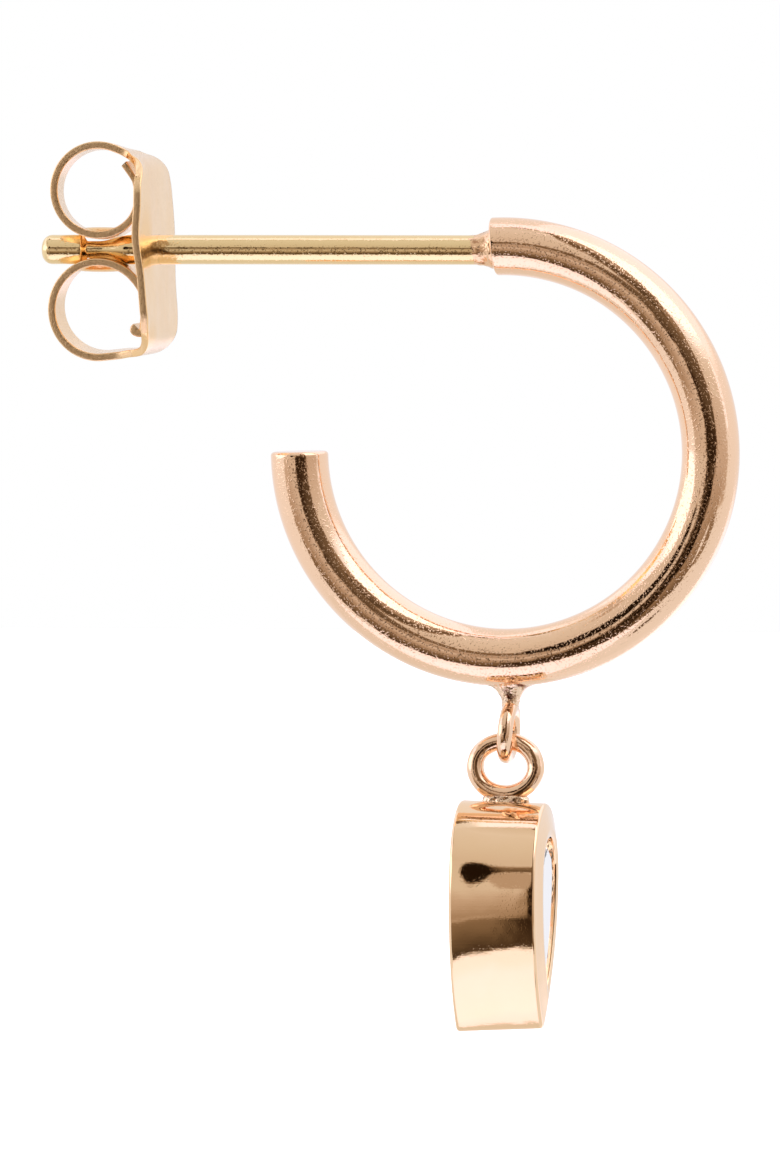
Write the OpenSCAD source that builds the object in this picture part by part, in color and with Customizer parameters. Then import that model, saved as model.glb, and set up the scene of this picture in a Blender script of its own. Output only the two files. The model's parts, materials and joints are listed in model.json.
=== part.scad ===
// Hoop charm earring: a round gold hoop on a straight post, a butterfly clutch on the post, and a
// pear-shaped stone in a gold setting that swings from a small ring under the hoop.
// The origin is on the post's axis at the end of the hoop's tube, where the front of the ear lobe
// rests. The post points along -X, the hoop lies in the XZ plane and the charm hangs along -Z.

/* [Hoop] */
// Outside diameter of the hoop
hoop_od = 12.7; // [12:0.1:14]
// Diameter of the round tube that the hoop is bent from
tube_d = 1.5; // [1.4:0.05:1.7]
// Angle of the tube's end at the post, counted up from the hoop's front
post_end_angle = 92.8; // [90:0.2:95]
// Angle of the tube's free end, counted down from the hoop's front
free_end_angle = 180; // [165:1:190]
// Softened edge round each end of the tube
end_round = 0.07; // [0.04:0.01:0.1]

/* [Post] */
// Diameter of the post's wire
post_d = 0.76; // [0.7:0.01:0.82]
// Length of the post from the tube's end to its tip
post_len = 12.4; // [11:0.1:14]
// How far the post's axis lies below the middle of the tube's end
post_drop = 0.14; // [0.1:0.01:0.16]
// Rounding of the post's tip
tip_round = 0.28; // [0.15:0.01:0.34]
// Diameter left at the bottom of the notch that holds the clutch
notch_d = 0.46; // [0.4:0.01:0.6]
// Distance from the tip to the notch's shoulder
notch_back = 1.1; // [0.9:0.05:1.3]
// Length of the steep shoulder
notch_shoulder = 0.16; // [0.1:0.01:0.25]
// Length of the narrow neck
notch_neck = 0.3; // [0.2:0.05:0.5]
// Length of the slow ramp back to the full wire
notch_ramp = 0.88; // [0.6:0.02:1.1]
// Length of the solder fillet along the post
post_solder_len = 0.65; // [0.4:0.05:0.8]
// Diameter of the solder fillet where it meets the tube
post_solder_d = 1.04; // [0.95:0.01:1.08]
// Length of the post that is buried in the tube
post_root = 0.5; // [0.4:0.05:0.6]

/* [Rings] */
// Diameter of the wire of both small rings
ring_wire = 0.41; // [0.36:0.01:0.42]
// Outside diameter of the ring under the hoop
hang_ring_od = 1.72; // [1.66:0.02:1.9]
// Distance from the hoop's underside to the top of that ring
hang_drop = 0.37; // [0.3:0.01:0.5]
// How far the ring's lowest wire lies in front of the hoop's lowest point
hang_offset = 0.06; // [0:0.01:0.2]
// Lean of that ring from upright
hang_lean = 5; // [0:1:6]
// Diameter of the solder neck above that ring
hang_neck_d = 0.47; // [0.4:0.01:0.55]
// Half length of the solder along the hoop's underside
hang_solder_x = 0.8; // [0.6:0.05:0.95]
// Half width of that solder across the hoop's underside
hang_solder_y = 0.42; // [0.35:0.01:0.5]
// Thickness of the solder's long arms
hang_arm_t = 0.36; // [0.3:0.01:0.4]
// How far the solder reaches up into the hoop's tube
hang_solder_bury = 0.2; // [0.18:0.01:0.25]
// Height of the charm's oval ring
charm_ring_h = 1.86; // [1.8:0.02:2]
// Width of the charm's oval ring
charm_ring_w = 2.08; // [2:0.02:2.2]
// Gap between the two linked rings
link_gap = 0.02; // [0.02:0.01:0.04]

/* [Setting] */
// Width of the pear-shaped setting
set_w = 4; // [3.8:0.05:4.4]
// Height of the setting
set_h = 6.05; // [5.8:0.05:6.6]
// Radius of the setting's lower tip
set_tip_r = 0.3; // [0.2:0.02:0.4]
// Depth of the setting's wall, back to front
set_depth = 2.28; // [2.2:0.02:2.6]
// Distance from the swing axis back to the setting's back face
set_back = 1.19; // [1.1:0.01:1.3]
// Rounding of the back edge
back_round = 0.15; // [0.1:0.01:0.2]
// Width of the rim round the stone's window
rim_w = 1; // [0.95:0.01:1.05]
// Rise of the rim in front of the wall
rim_rise = 0.14; // [0.1:0.01:0.18]
// Distance from the outline to the rim's crest
rim_crest = 0.75; // [0.65:0.01:0.8]
// Softened edge where the wall meets the rim
rim_edge = 0.05; // [0.03:0.01:0.08]
// Share of the way to the crest where the rim's slope changes
dome_share = 0.45; // [0.35:0.05:0.55]
// Share of the rise that is reached there
dome_rise_share = 0.65; // [0.55:0.05:0.75]
// Height of the window's edge in front of the wall
window_rise = 0.08; // [0.06:0.01:0.1]
// Width of the ledge behind the stone
seat_w = 0.2; // [0.16:0.01:0.24]
// Gap from the charm ring's lowest point down to the setting
charm_neck_h = 0.1; // [0.06:0.01:0.14]
// Half width of the solder between ring and setting
charm_solder_half = 0.63; // [0.5:0.01:0.7]
// Thickness of that solder, side to side
charm_solder_t = 0.56; // [0.45:0.01:0.6]
// How far that solder reaches down into the setting
charm_solder_bury = 0.15; // [0.12:0.01:0.2]
// How far the solder's foot is wider than its top
charm_solder_flare = 0.11; // [0.06:0.01:0.14]

/* [Stone] */
// Distance from the setting's outline to the stone's girdle
stone_inset = 0.78; // [0.74:0.01:0.82]
// Play between the stone and the metal round it
stone_gap = 0.02; // [0.02:0.005:0.03]
// Height of the crown above the girdle
crown_h = 0.36; // [0.3:0.01:0.4]
// Height of the girdle band
girdle_h = 0.06; // [0.04:0.01:0.1]
// Depth of the pavilion below the girdle
pavilion_h = 1.05; // [0.95:0.01:1.15]
// How far the table lies behind the rim's crest
table_drop = 0.04; // [0.02:0.01:0.1]
// Width of the crown between the girdle and the table
crown_w = 0.5; // [0.46:0.01:0.56]
// Share of the crown's width and height where the star facets end
star_share = 0.55; // [0.5:0.01:0.6]
// How far the culet lies towards the tip, as a share of the pear's length
culet_share = 0.16; // [0.12:0.01:0.2]
// Share of the pavilion's depth where its lower facets begin
break_depth_share = 0.77; // [0.75:0.01:0.78]
// Share of the outline's size there
break_outline_share = 0.26; // [0.25:0.01:0.27]

/* [Clutch] */
// Distance from the post's tip back to the clutch's plate
clutch_from_tip = 3.24; // [3.16:0.02:3.8]
// Thickness of the clutch's sheet
sheet_t = 0.18; // [0.15:0.01:0.2]
// Width of the plate
plate_w = 4.4; // [4:0.1:4.8]
// Height of the flat part of the plate
plate_flat_h = 4.24; // [4.2:0.02:4.3]
// Height of the plate with its bent edges
plate_h = 5.3; // [5.2:0.05:5.5]
// Radius of the plate's corners
plate_corner = 1.3; // [1:0.05:1.5]
// Width of the sheet where it leaves the plate's edge
plate_neck_w = 3; // [2.4:0.1:3.4]
// Width of the curled strips
strip_w = 1.2; // [1:0.05:1.4]
// Outside diameter of each curl
curl_d = 2.66; // [2.5:0.02:2.68]
// Gap between the two curls, across the post
curl_gap = 0.54; // [0.5:0.01:0.58]
// Distance from the plate's face back to the middle of the curls
curl_back = 1.66; // [1.62:0.01:1.7]
// Angle at which the sheet from the plate joins a curl
curl_start = 70; // [66:1:72]
// Angle at which the strip turns in to pass inside its own start
curl_turn = 330; // [320:5:340]
// Angle at which the strip ends
curl_end = 420; // [410:5:430]
// How much tighter the last part of the strip is bent
curl_tuck = 0.19; // [0.19:0.01:0.22]
// Half length of the groove that rides on the post
saddle_half = 0.62; // [0.5:0.02:0.7]
// Gap between the post and the metal that slides on it
post_gap = 0.02; // [0.02:0.005:0.03]

/* [Hidden] */
$fn = 96;

// Small overlap that joins pieces of one solid
sink = 0.02;
// Thickness of the slabs that a hull is drawn between
film = 0.001;
// Segments round each slab of a hull
hull_fn = 64;
hoop_r = (hoop_od - tube_d) / 2;
hoop_x = -hoop_r * cos(post_end_angle);
hoop_z = post_drop - hoop_r * sin(post_end_angle);
hoop_low = hoop_z - hoop_od / 2;
// Angle that one softened end takes up along the hoop
end_angle = end_round / hoop_r * 180 / PI;

post_r = post_d / 2;
shoulder_at = post_len - notch_back;
neck_at = shoulder_at - notch_shoulder;
ramp_at = neck_at - notch_neck;
full_at = ramp_at - notch_ramp;

// The charm swings about the middle of the hanging ring's lowest wire
wire_r = ring_wire / 2;
hang_ring_r = (hang_ring_od - ring_wire) / 2;
swing_x = hoop_x + hang_offset;
swing_z = hoop_low - hang_drop - hang_ring_od + wire_r;
hang_top_x = swing_x + hang_ring_r * 2 * sin(hang_lean);
hang_top_z = swing_z + hang_ring_r * 2 * cos(hang_lean);
hang_solder_top = hoop_low + hang_solder_bury;

charm_ring_top = ring_wire + link_gap + wire_r;
charm_ring_low = charm_ring_top - charm_ring_h;
charm_ring_mid = charm_ring_top - charm_ring_h / 2;
charm_bend_r = charm_ring_h / 2 - wire_r;
charm_ring_flat = charm_ring_w - charm_ring_h;

// Pear outline: a round head, a small round tip and two long arcs that touch both
head_r = set_w / 2;
set_top = charm_ring_low - charm_neck_h;
head_z = set_top - head_r;
tip_drop = set_h - head_r - set_tip_r;
side_r = (tip_drop * tip_drop + head_r * head_r - set_tip_r * set_tip_r) / (2 * (head_r - set_tip_r));

// Depths inside the setting, counted from its back face
crest_at = set_depth + rim_rise;
table_at = crest_at - table_drop;
girdle_top = table_at - crown_h;
girdle_low = girdle_top - girdle_h;
bore_inset = stone_inset + seat_w;
seat_at = girdle_low - seat_w * pavilion_h / (head_r - stone_inset) - 3 * stone_gap;
edge_at = set_depth - rim_edge;
dome_at = set_depth + rim_rise * dome_rise_share;
window_at = set_depth + window_rise;
crown_at = girdle_top + crown_h * (rim_w - stone_inset) / crown_w + 2 * stone_gap;

// Clutch, counted from the middle of its plate's front face
clutch_pos = post_len - clutch_from_tip;
curl_r = curl_d / 2;
curl_z = curl_gap / 2 + curl_r;
curl_end_r = curl_r - curl_tuck;
bore_r = post_r + post_gap;
strip_start_x = -curl_back + curl_r * cos(curl_start);
strip_start_z = curl_z + curl_r * sin(curl_start);
strip_corner_z = strip_start_z + strip_start_x / tan(curl_start);
bend_len = strip_corner_z - plate_flat_h / 2;
bend_r = bend_len / tan(curl_start / 2);

gold = "#dcb08a";
pale_gold = "#d9bd86";
stone_tint = "#eef0f6";

// Ring of round wire about the Z axis
module wire_ring(mid_r, wire) {
    rotate_extrude() translate([mid_r, 0]) circle(d = wire);
}

// Quarter or more of a bent wire or sheet about the Z axis, from one angle to another
module bend(from, to) {
    rotate([0, 0, from]) rotate_extrude(angle = to - from) children();
}

// Concave fillet that stands on Z = 0 with one radius and runs out to a thinner one
module fillet_outline(foot_r, thin_r, len) {
    sweep_r = (pow(foot_r - thin_r, 2) + len * len) / (2 * (foot_r - thin_r));
    difference() {
        square([foot_r, len]);
        translate([thin_r + sweep_r, len]) circle(r = sweep_r);
    }
}

// Round disc with a softened outer edge on its far side
module softened_end() {
    rotate_extrude() {
        square([tube_d / 2 - end_round, end_round]);
        intersection() {
            translate([tube_d / 2 - end_round, 0]) circle(r = end_round);
            square(tube_d);
        }
    }
}

module hoop_tube() {
    translate([hoop_x, 0, hoop_z]) rotate([90, 0, 0]) {
        bend(-free_end_angle + end_angle, post_end_angle - end_angle)
            translate([hoop_r, 0]) circle(d = tube_d);
        rotate([0, 0, post_end_angle - end_angle]) translate([hoop_r, 0, 0])
            rotate([-90, 0, 0]) softened_end();
        rotate([0, 0, -free_end_angle + end_angle]) translate([hoop_r, 0, 0])
            rotate([90, 0, 0]) softened_end();
    }
}

module post() {
    rotate([0, -90, 0]) rotate_extrude() {
        polygon([
            [0, -post_root],
            [post_r, -post_root],
            [post_r, full_at],
            [notch_d / 2, ramp_at],
            [notch_d / 2, neck_at],
            [post_r, shoulder_at],
            [post_r, post_len - tip_round],
            [0, post_len - tip_round]
        ]);
        translate([0, post_len - tip_round]) square([post_r - tip_round, tip_round]);
        intersection() {
            translate([post_r - tip_round, post_len - tip_round]) circle(r = tip_round);
            translate([0, post_len - tip_round]) square([post_r, tip_round]);
        }
    }
}

module post_solder() {
    rotate([0, -90, 0]) rotate_extrude() {
        fillet_outline(post_solder_d / 2, post_r, post_solder_len);
        translate([0, -2 * end_round]) square([post_solder_d / 2, 2 * end_round]);
    }
}

module hanging_ring() {
    translate([swing_x, 0, swing_z]) rotate([0, hang_lean, 0]) translate([0, 0, hang_ring_r])
        rotate([0, 90, 0]) wire_ring(hang_ring_r, ring_wire);
}

module hanging_solder() {
    len = hang_solder_top - hang_top_z;
    translate([hang_top_x, 0, hang_solder_top]) rotate([180, 0, 0]) {
        rotate_extrude() fillet_outline(hang_solder_y, hang_neck_d / 2, len);
        translate([0, hang_arm_t / 2, 0]) rotate([90, 0, 0]) linear_extrude(hang_arm_t)
            for (side = [0, 1]) mirror([side, 0])
                fillet_outline(hang_solder_x, hang_neck_d / 2, len);
    }
}

module hoop() {
    color(gold) {
        hoop_tube();
        post_solder();
        hanging_ring();
        hanging_solder();
    }
    color(pale_gold) post();
}

// Pear outline drawn in by some distance, with the middle of its round head at the origin
module pear(inset) {
    tip_r = set_tip_r - inset;
    long_r = side_r - inset;
    low = tip_r > 0 ? tip_drop * long_r / (side_r - set_tip_r) : set_h;
    circle(r = head_r - inset);
    if (tip_r > 0) translate([0, -tip_drop]) circle(r = tip_r);
    intersection() {
        translate([head_r - side_r, 0]) circle(r = long_r, $fn = 3 * $fn);
        translate([side_r - head_r, 0]) circle(r = long_r, $fn = 3 * $fn);
        translate([-head_r, -low]) square([2 * head_r, low]);
    }
}

// Pear-shaped slab between two depths of the setting
module pear_slab(inset, from, to) {
    translate([0, 0, from]) linear_extrude(to - from) pear(inset);
}

// Puts what is drawn as an outline with depth along Z into the charm's place
module in_charm() {
    translate([swing_x - set_back, 0, swing_z + head_z]) rotate([90, 0, 90]) children();
}

module setting_body() {
    difference() {
        union() {
            pear_slab(0, back_round, edge_at);
            hull($fn = hull_fn) {
                pear_slab(back_round, 0, film);
                pear_slab(back_round * 0.3, back_round * 0.3, back_round * 0.3 + film);
                pear_slab(0, back_round, back_round + sink);
            }
            hull($fn = hull_fn) {
                pear_slab(0, edge_at - sink, edge_at);
                pear_slab(rim_edge, set_depth, set_depth + film);
                pear_slab(rim_crest * dome_share, dome_at, dome_at + film);
                pear_slab(rim_crest, crest_at - film, crest_at);
            }
        }
        // Rim falls from its crest to the window's edge
        hull($fn = hull_fn) {
            pear_slab(rim_w, window_at, window_at + film);
            pear_slab(rim_crest, crest_at - film, crest_at + sink);
        }
        pear_slab(rim_w, girdle_top, crest_at + sink);
        // The metal over the girdle follows the slope of the crown
        hull($fn = hull_fn) {
            pear_slab(stone_inset - stone_gap, girdle_low, girdle_top + stone_gap);
            pear_slab(rim_w, crown_at, crown_at + stone_gap);
        }
        pear_slab(stone_inset - stone_gap, seat_at, girdle_low + sink);
        pear_slab(bore_inset, -sink, seat_at + sink);
    }
}

// Oval ring of the charm, standing in the XZ plane over the swing axis
module charm_ring() {
    translate([0, 0, charm_ring_mid]) rotate([90, 0, 0]) {
        for (side = [0, 180]) rotate([0, 0, side]) {
            translate([charm_ring_flat / 2, 0, 0]) bend(-90, 90)
                translate([charm_bend_r, 0]) circle(d = ring_wire);
            translate([-charm_ring_flat / 2, charm_bend_r, 0]) rotate([0, 90, 0])
                cylinder(d = ring_wire, h = charm_ring_flat);
        }
    }
}

// Solder between the ring and the setting, hollowed a little at each side
module charm_solder() {
    low = set_top - charm_solder_bury;
    high = charm_ring_low + wire_r;
    translate([0, charm_solder_t / 2, low]) rotate([90, 0, 0]) linear_extrude(charm_solder_t)
        for (side = [0, 1]) mirror([side, 0])
            fillet_outline(charm_solder_half + charm_solder_flare, charm_solder_half, high - low);
}

module charm_setting() {
    color(pale_gold) {
        in_charm() setting_body();
        translate([swing_x, 0, swing_z]) {
            charm_ring();
            charm_solder();
        }
    }
}

// Point k of 16 round the pear outline drawn in by some distance. Points 0 to 8 lie on the round
// head, 12 is the tip and the rest are spaced along the two long sides.
function side_pt(share, inset) =
    let (
        long_r = side_r - inset,
        reach = acos((side_r - head_r) / long_r),
        a = reach * share
    )
    [long_r * cos(a) - side_r + head_r, -long_r * sin(a)];
function pear_pt(k, inset) =
    k <= 8 ? (head_r - inset) * [cos(22.5 * k), sin(22.5 * k)]
    : k <= 12 ? [-side_pt((k - 8) / 4, inset)[0], side_pt((k - 8) / 4, inset)[1]]
    : side_pt((16 - k) / 4, inset);
function raised(pt, h) = [pt[0], pt[1], h];

module stone_body() {
    table_inset = stone_inset + crown_w;
    star_inset = stone_inset + crown_w * star_share;
    culet = [0, -tip_drop * culet_share];
    points = concat(
        [for (k = [0:7]) raised(pear_pt(2 * k, table_inset), table_at)],
        [for (k = [0:7]) raised(pear_pt(2 * k + 1, star_inset), girdle_top + crown_h * star_share)],
        [for (k = [0:15]) raised(pear_pt(k, stone_inset), girdle_top)],
        [for (k = [0:15]) raised(pear_pt(k, stone_inset), girdle_low)],
        [for (k = [0:7]) raised(pear_pt(2 * k + 1, stone_inset) * break_outline_share + culet * (1 - break_outline_share),
            girdle_low - pavilion_h * break_depth_share)],
        [raised(culet, girdle_low - pavilion_h)]
    );
    star = 8;
    top = 16;
    low = 32;
    break = 48;
    tip = 56;
    faces = concat(
        [[for (k = [7:-1:0]) k]],
        [for (k = [0:7]) [(k + 1) % 8, star + k, k]],
        [for (k = [0:7]) [top + 2 * k, star + (k + 7) % 8, k]],
        [for (k = [0:7]) [star + k, top + 2 * k, k]],
        [for (k = [0:7]) [top + 2 * k + 1, top + 2 * k, star + k]],
        [for (k = [0:7]) [top + (2 * k + 2) % 16, top + 2 * k + 1, star + k]],
        [for (j = [0:15]) [top + j, top + (j + 1) % 16, low + (j + 1) % 16, low + j]],
        [for (k = [0:7]) [low + 2 * k, low + 2 * k + 1, break + k]],
        [for (k = [0:7]) [low + 2 * k + 1, low + (2 * k + 2) % 16, break + k]],
        [for (k = [0:7]) [low + 2 * k, break + k, tip]],
        [for (k = [0:7]) [break + (k + 7) % 8, low + 2 * k, tip]]
    );
    polyhedron(points = points, faces = faces);
}

module pear_stone() {
    color(stone_tint) in_charm() stone_body();
}

// Sheet section of the clutch, ready to be bent to an outside radius
module sheet_section(outer_r, width) {
    translate([outer_r - sheet_t, -width / 2]) square([sheet_t, width]);
}

// Upper half of the plate and the neck that leads from its edge to the curl
module plate_half() {
    intersection() {
        rotate([90, 0, 0]) {
            translate([-sheet_t, -sink, -plate_w / 2])
                cube([sheet_t, plate_flat_h / 2 + sink, plate_w]);
            translate([-bend_r, plate_flat_h / 2, 0]) bend(0, curl_start) sheet_section(bend_r, plate_w);
            translate([strip_start_x, strip_start_z, -plate_w / 2]) rotate([0, 0, curl_start - 90])
                translate([-sink, -sheet_t, 0])
                    cube([2 * sink - strip_start_x / sin(curl_start) - bend_len, sheet_t, plate_w]);
        }
        translate([-2 * curl_back, 0, 0]) rotate([90, 0, 90]) linear_extrude(3 * curl_back) plate_outline();
        linear_extrude(plate_h) for (side = [0, 1]) mirror([0, side]) polygon([
            [sheet_t, -sink],
            [sheet_t, plate_w / 2],
            [-sheet_t * 2, plate_w / 2],
            [-bend_r, plate_neck_w / 2],
            [strip_start_x - sink, strip_w / 2],
            [strip_start_x - sink, -sink]
        ]);
    }
}

// Rounded outline of the plate as seen along the post
module plate_outline() {
    square([plate_w - 2 * plate_corner, plate_h + plate_corner], center = true);
    square([plate_w, plate_h - 2 * plate_corner], center = true);
    for (y = [-1, 1]) for (z = [-1, 1])
        translate([y * (plate_w / 2 - plate_corner), z * (plate_h / 2 - plate_corner)])
            circle(r = plate_corner);
}

// One curl: a full turn of strip whose end tucks inside its own start
module curl() {
    shift = curl_r - curl_end_r;
    translate([-curl_back, 0, curl_z]) rotate([90, 0, 0]) {
        bend(curl_start, curl_turn) sheet_section(curl_r, strip_w);
        translate([shift * cos(curl_turn), shift * sin(curl_turn), 0])
            bend(curl_turn, curl_end) sheet_section(curl_end_r, strip_w);
    }
}

// Groove pressed into the curl so that it rides on the post
module saddle() {
    intersection() {
        rotate([0, -90, 0]) translate([0, 0, curl_back - saddle_half])
            cylinder(r = bore_r + sheet_t, h = 2 * saddle_half);
        translate([-2 * curl_back, -strip_w / 2, curl_gap / 2]) cube([2 * curl_back, strip_w, curl_r]);
    }
}

module clutch() {
    color(gold) translate([-clutch_pos, 0, 0]) difference() {
        for (side = [0, 1]) mirror([0, 0, side]) {
            plate_half();
            curl();
            saddle();
        }
        rotate([0, -90, 0]) translate([0, 0, -sheet_t])
            cylinder(r = bore_r, h = 2 * (curl_back + sheet_t));
    }
}

hoop();
charm_setting();
pear_stone();
clutch();
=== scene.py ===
# Hoop charm earring, dressed round its solid parts. Sizes are millimetres until a mesh is made, and the
# frame is the parts' own: the origin on the post's axis at the end of the hoop's tube, the post along
# -X, the hoop in the XZ plane and the charm hanging along -Z.
import json
import math

import bpy
import numpy as np
from mathutils import Matrix, Vector, noise


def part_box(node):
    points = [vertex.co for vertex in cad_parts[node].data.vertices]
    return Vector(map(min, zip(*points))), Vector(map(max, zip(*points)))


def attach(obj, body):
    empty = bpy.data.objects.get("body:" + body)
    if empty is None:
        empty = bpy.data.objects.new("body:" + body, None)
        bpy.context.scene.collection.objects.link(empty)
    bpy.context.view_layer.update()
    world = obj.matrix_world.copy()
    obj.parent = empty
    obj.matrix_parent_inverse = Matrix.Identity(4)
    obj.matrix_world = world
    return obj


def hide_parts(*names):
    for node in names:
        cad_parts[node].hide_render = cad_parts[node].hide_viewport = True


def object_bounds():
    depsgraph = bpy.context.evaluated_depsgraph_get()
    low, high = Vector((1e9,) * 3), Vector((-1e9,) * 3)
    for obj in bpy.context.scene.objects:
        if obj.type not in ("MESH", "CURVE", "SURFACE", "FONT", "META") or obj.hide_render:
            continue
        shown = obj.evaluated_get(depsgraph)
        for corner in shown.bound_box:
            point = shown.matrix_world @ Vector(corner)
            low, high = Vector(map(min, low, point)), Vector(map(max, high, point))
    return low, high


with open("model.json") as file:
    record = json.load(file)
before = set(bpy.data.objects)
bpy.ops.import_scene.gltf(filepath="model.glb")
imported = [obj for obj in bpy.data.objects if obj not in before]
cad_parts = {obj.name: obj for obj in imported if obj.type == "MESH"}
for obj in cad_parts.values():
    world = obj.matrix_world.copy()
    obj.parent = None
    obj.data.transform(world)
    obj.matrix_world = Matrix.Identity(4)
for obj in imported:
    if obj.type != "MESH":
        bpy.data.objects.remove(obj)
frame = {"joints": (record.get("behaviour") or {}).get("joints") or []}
cad_low, cad_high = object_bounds()

MM = 0.001
TURN = 2 * math.pi

# Sizes that the pieces share
POST_R = 0.4
TUBE_R = 0.782
WIRE_R = 0.205
HOOP_OD = 12.7
HOOP_R = 5.6
# The hoop sprang a hair wider than high after bending
HOOP_WIDE = 5.63
HOOP_HIGH = 5.56
# Angles of the tube's two ends round the hoop's middle
POST_END = 92.8
FREE_END = -180
# Small ring under the hoop
RING_R = 0.655
RING_LEAN = math.radians(5)

hoop_low, hoop_high = (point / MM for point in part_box("hoop"))
setting_low, setting_high = (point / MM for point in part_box("charm_setting"))
stone_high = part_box("pear_stone")[1] / MM
clutch_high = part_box("clutch")[1] / MM
HOOP_X = hoop_high.x - HOOP_OD / 2 + HOOP_WIDE - HOOP_R
HOOP_Z = hoop_high.z - HOOP_OD / 2
SWING = Vector(next(j["pos_m"] for j in frame["joints"] if j["name"] == "charm_swing")) / MM


def rough(points, size, depth, seed=0.0):
    """Points moved in and out by smooth noise of one grain size, along the way from their own middle"""
    moved = []
    middle = np.mean(points, axis=0)
    for p in points:
        way = p - middle
        length = np.linalg.norm(way) or 1.0
        moved.append(p + way / length * depth * noise.noise(Vector(p / size) + Vector((seed, seed, 0))))
    return np.array(moved)


def skin(name, rows, closed=False, sharp=40):
    """Mesh piece through rows of points, each row a ring. A closed skin joins its last row to its first,
    and any other one gets a flat cap at each end. Its map holds millimetres along and round."""
    rows = [np.asarray(row, float) for row in rows]
    if not closed:
        cap_share = 0.94
        for end in (0, -1):
            middle = rows[end].mean(axis=0)
            inner = middle + (rows[end] - middle) * cap_share
            rows.insert(0 if end == 0 else len(rows), inner)
    grid = np.array(rows)
    n_rows, n_ring = grid.shape[:2]
    path = grid.mean(axis=1) if not closed else grid[:, 0]
    steps = np.linalg.norm(np.diff(grid, axis=0), axis=2).mean(axis=1)
    along = np.concatenate([[0], np.cumsum(steps)])
    along = np.append(along, along[-1] + np.linalg.norm(path[0] - path[-1]))
    loop = np.concatenate([grid, grid[:, :1]], axis=1)
    around = np.linalg.norm(np.diff(loop, axis=1), axis=2).max(axis=0)
    around = np.concatenate([[0], np.cumsum(around)])
    faces, corners = [], []
    for i in range(n_rows if closed else n_rows - 1):
        k = (i + 1) % n_rows
        for j in range(n_ring):
            m = (j + 1) % n_ring
            faces.append((i * n_ring + j, k * n_ring + j, k * n_ring + m, i * n_ring + m))
            corners += [(along[i], around[j]), (along[i + 1], around[j]),
                        (along[i + 1], around[j + 1]), (along[i], around[j + 1])]
    if not closed:
        faces.append(tuple(range(n_ring)))
        faces.append(tuple((n_rows - 1) * n_ring + j for j in reversed(range(n_ring))))
        corners += [(along[0], a) for a in around[:-1]]
        corners += [(along[n_rows - 1], a) for a in around[:-1][::-1]]
    return mesh_piece(name, grid.reshape(-1, 3), faces, corners, sharp)


def mesh_piece(name, points, faces, corners=None, sharp=40):
    """Mesh object from points in millimetres, its faces turned outwards and smoothed up to an angle"""
    points = np.asarray(points, float)
    volume = 0.0
    for face in faces:
        a = points[face[0]]
        for b, c in zip(face[1:-1], face[2:]):
            volume += np.dot(a, np.cross(points[b], points[c]))
    mesh = bpy.data.meshes.new(name)
    if volume < 0:
        turned = []
        start = 0
        for face in faces:
            turned += corners[start:start + len(face)][::-1] if corners else []
            start += len(face)
        corners = turned or None
        faces = [face[::-1] for face in faces]
    mesh.from_pydata((points * MM).tolist(), [], faces)
    if corners:
        layer = mesh.uv_layers.new(name="millimetres")
        layer.data.foreach_set("uv", np.array(corners, np.float32).ravel())
    mesh.shade_smooth()
    mesh.set_sharp_from_angle(angle=math.radians(sharp))
    piece = bpy.data.objects.new(name, mesh)
    bpy.context.scene.collection.objects.link(piece)
    return piece


def dress(piece, material, body, slot, *nodes):
    """Gives a piece its finish and its body, and hides the solid parts that it stands for. Its slot is not
    used.
    """
    piece.data.materials.clear()
    piece.data.materials.append(material)
    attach(piece, body)
    if nodes:
        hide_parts(*nodes)
    return piece


def ring_of(middle, side, up, radius, count):
    """Circle of points about a middle, in the plane of two directions"""
    angles = np.arange(count) * TURN / count
    return (np.asarray(middle, float)
            + np.outer(np.cos(angles), np.asarray(side, float)) * radius
            + np.outer(np.sin(angles), np.asarray(up, float)) * radius)


def lathe(profile, middle, axis, side, count):
    """Rings of points turned about an axis, from (distance along the axis, radius) pairs"""
    axis, side = Vector(axis).normalized(), Vector(side).normalized()
    up = axis.cross(side)
    return [ring_of(Vector(middle) + axis * along, side, up, radius, count) for along, radius in profile]


def eased(share):
    """Smooth step from 0 to 1"""
    share = np.clip(share, 0.0, 1.0)
    return share * share * (3 - 2 * share)


# Colours and materials

def linear(code):
    """Linear colour of an sRGB hex code"""
    levels = [int(code[i:i + 2], 16) / 255 for i in (1, 3, 5)]
    return tuple(c / 12.92 if c <= 0.04045 else ((c + 0.055) / 1.055) ** 2.4 for c in levels) + (1.0,)


def node(tree, kind, inputs=None, **settings):
    """Adds a node, with its settings, and fills or links its inputs"""
    made = tree.nodes.new(kind)
    for name, value in settings.items():
        setattr(made, name, value)
    for key, value in (inputs or {}).items():
        if isinstance(value, bpy.types.NodeSocket):
            tree.links.new(value, made.inputs[key])
        else:
            made.inputs[key].default_value = value
    return made


def new_material(name):
    """Empty material and its node tree"""
    material = bpy.data.materials.new(name)
    material.use_nodes = True
    tree = material.node_tree
    tree.nodes.clear()
    return material, tree


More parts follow.
